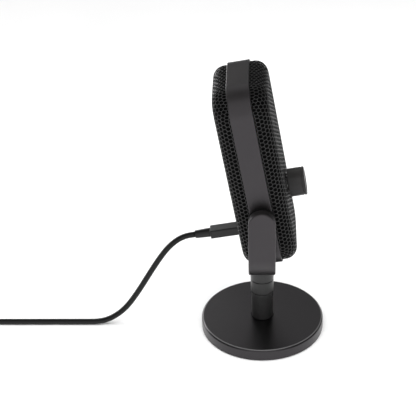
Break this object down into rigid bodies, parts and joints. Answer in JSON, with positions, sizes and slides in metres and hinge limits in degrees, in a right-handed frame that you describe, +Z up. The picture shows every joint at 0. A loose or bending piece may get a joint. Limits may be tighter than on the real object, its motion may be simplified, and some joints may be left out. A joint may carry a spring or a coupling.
{
  "type": "desktop microphone",
  "caption": "Flat mesh-fronted desktop microphone that tilts in a swivel yoke on a weighted round base, with a gain knob and a USB lead.",
  "frame": {"origin": "middle of the base's underside, where it stands on the table", "axes": "+Z up; +X along the tilt pivot, to the microphone's left as it faces the speaker; -Y towards the speaker, where the knob is; the lead leaves towards +Y"},
  "size_m": [0.1509, 0.3978, 0.255],
  "materials": {
    "base_coat": "satin black powder coat",
    "stand_coat": "satin black paint",
    "frame_coat": "satin dark grey paint, fine texture",
    "knob_coat": "satin dark grey paint",
    "mesh_coat": "dark satin mesh",
    "foam": "open-cell foam, black",
    "black_rubber": "matt",
    "cord_rubber": "smooth, slight sheen",
    "plug_plastic": "moulded, fine grain",
    "black_plastic": "moulded, matt",
    "bare_steel": "bright zinc plate",
    "chassis_sheet": "plain sheet",
    "brass": "turned",
    "board": "glass-fibre board with solder mask"
  },
  "bodies": {
    "base": {"base_disc": "base_coat", "base_pad": "black_rubber", "base_bolt": "bare_steel", "stand_pole": "stand_coat", "threaded_stud": "bare_steel"},
    "collar": {"lock_collar": "stand_coat"},
    "yoke": {"yoke_socket": "stand_coat", "yoke": "frame_coat", "yoke_screw": "bare_steel", "tilt_washer_right": "black_rubber", "tilt_washer_left": "black_rubber", "pivot_screw_right": "bare_steel", "pivot_screw_left": "bare_steel", "cord": "cord_rubber", "cord_coil": "cord_rubber", "cord_tie": "black_plastic", "cord_tail": "cord_rubber", "usb_a_relief": "plug_plastic", "usb_a_plug": "plug_plastic", "usb_a_shell": "bare_steel"},
    "mic": {"frame_band": "frame_coat", "chassis": "chassis_sheet", "chassis_screw_1": "bare_steel", "chassis_screw_2": "bare_steel", "chassis_screw_3": "bare_steel", "chassis_screw_4": "bare_steel", "pivot_bush_right": "brass", "pivot_bush_left": "brass", "front_grille": "mesh_coat", "rear_grille": "mesh_coat", "front_foam": "foam", "rear_foam": "foam", "capsule_cradle": "black_plastic", "capsule": "brass", "main_board": "board", "board_screw_1": "bare_steel", "board_screw_2": "bare_steel", "board_screw_3": "bare_steel", "board_screw_4": "bare_steel", "gain_encoder": "bare_steel", "encoder_nut": "stand_coat", "port_plate": "black_plastic", "usb_jack": "bare_steel", "port_board": "board", "usb_plug_tip": "bare_steel", "usb_plug": "plug_plastic", "strain_relief": "plug_plastic"},
    "plunger": {"switch_plunger": "black_plastic"},
    "knob": {"knob_shaft": "bare_steel", "gain_knob": "knob_coat"}
  },
  "joints": [
    {"name": "yoke_swivel", "type": "hinge", "parent": "base", "child": "yoke", "pos_m": [0, 0, 0.0513], "axis": [0, 0, 1], "range_deg": [-180, 180]},
    {"name": "collar_turn", "type": "hinge", "parent": "base", "child": "collar", "pos_m": [0, 0, 0.0445], "axis": [0, 0, 1], "range_deg": [-180, 180]},
    {"name": "mic_tilt", "type": "hinge", "parent": "yoke", "child": "mic", "pos_m": [0, 0, 0.13891], "axis": [1, 0, 0], "range_deg": [-20, 45], "deforming": ["cord"]},
    {"name": "knob_push", "type": "slide", "parent": "mic", "child": "plunger", "axis": [0, 0.9859, -0.1671], "range_m": [0, 0.0008], "stiffness_N_per_m": 1500},
    {"name": "knob_turn", "type": "hinge", "parent": "plunger", "child": "knob", "pos_m": [0, 0.00112, 0.14552], "axis": [0, 0.9859, -0.1671], "range_deg": [-140, 140]}
  ]
}
